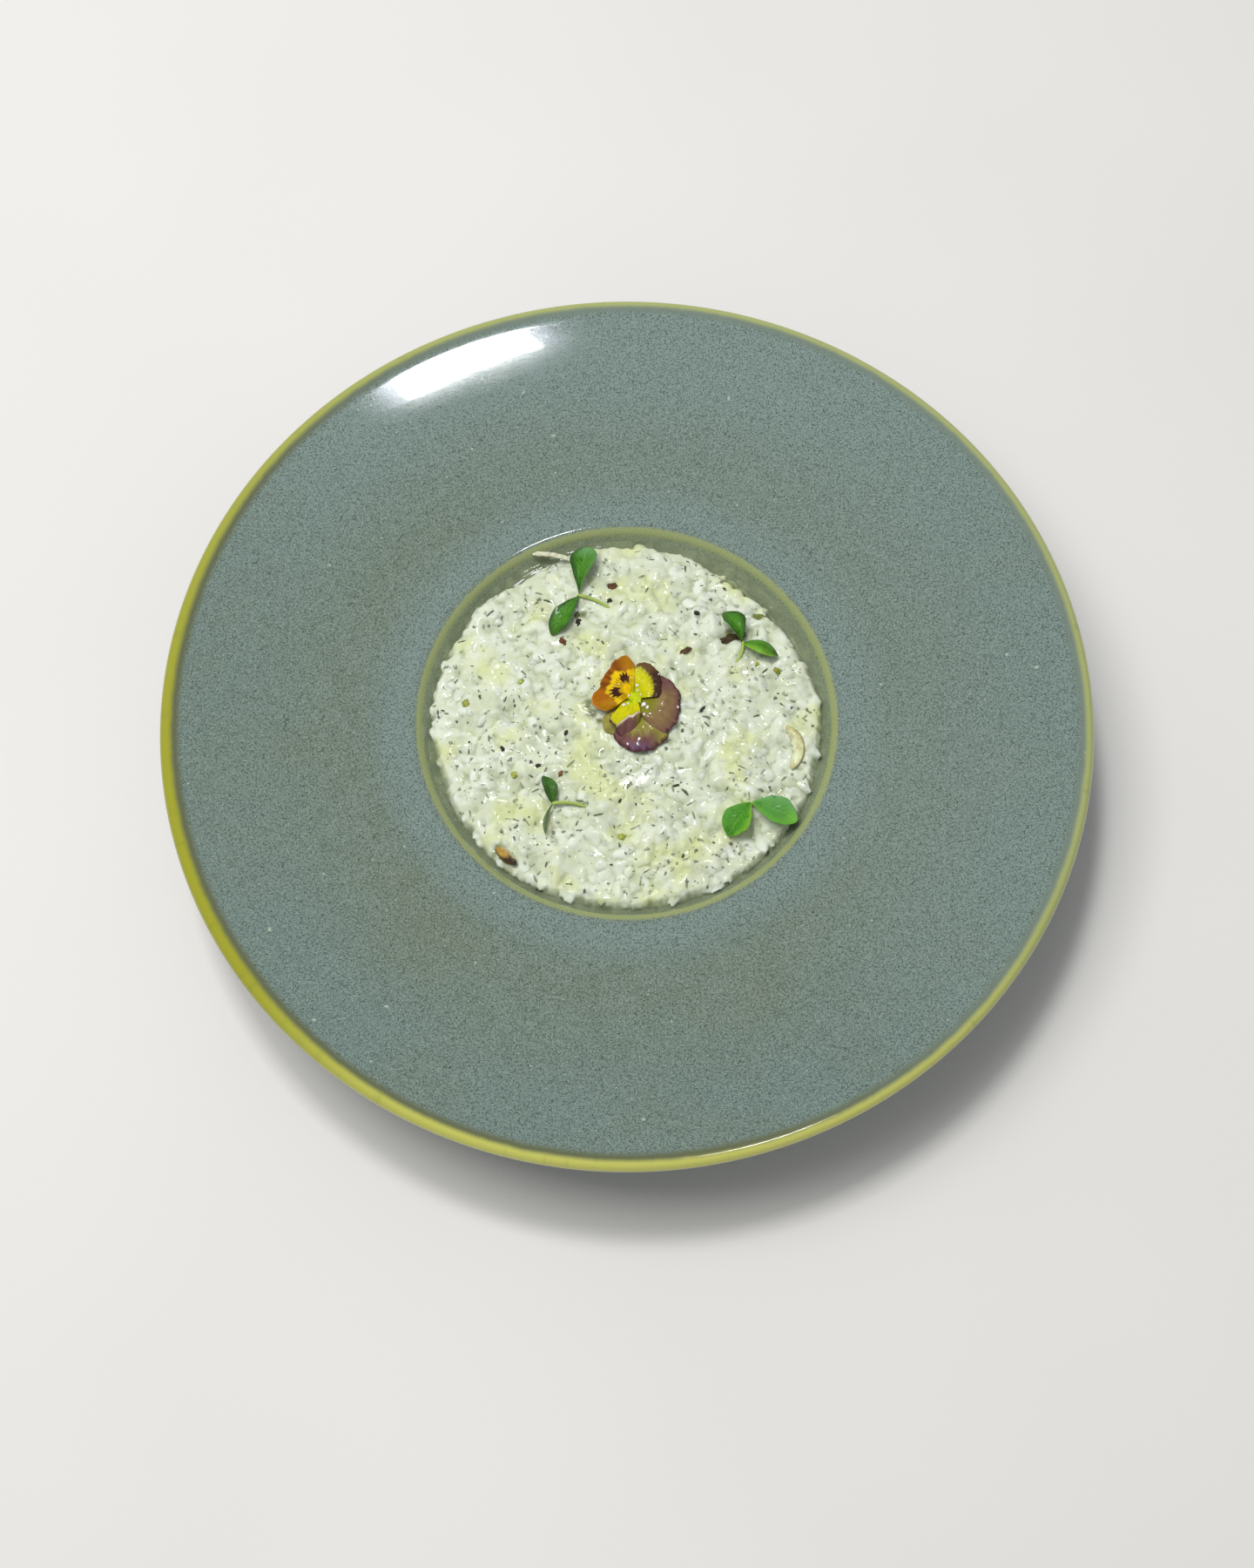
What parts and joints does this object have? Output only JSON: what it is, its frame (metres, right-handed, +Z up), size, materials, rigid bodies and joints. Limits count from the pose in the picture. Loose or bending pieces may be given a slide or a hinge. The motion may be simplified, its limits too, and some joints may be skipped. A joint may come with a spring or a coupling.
{
  "type": "truffle risotto in a wide-rimmed bowl plate",
  "caption": "Creamy risotto with truffle flecks in the deep well of a wide-brimmed plate, topped with an edible viola, cress sprigs and mushroom slices.",
  "frame": {"origin": "centre of the plate's foot ring, on the table", "axes": "+Z up along the plate's axis; the diner sits on the -Y side; +X to the diner's right"},
  "size_m": [0.2798, 0.2798, 0.0439],
  "materials": {
    "glaze": "glossy speckled grey-green reactive glaze with an olive lip",
    "rice": "wet creamy rice",
    "petal": "satin petals",
    "leaf": "satin leaves",
    "mushroom": "wet cooked mushroom",
    "cheese": "waxy"
  },
  "bodies": {
    "root": {"plate": "glaze", "risotto": "rice", "viola": "petal", "sprig_back_left": "leaf", "sprig_back_right": "leaf", "sprig_front_left": "leaf", "sprig_front_right": "leaf", "mushroom_right": "mushroom", "mushroom_front": "mushroom", "cheese_shred": "cheese"}
  },
  "joints": []
}
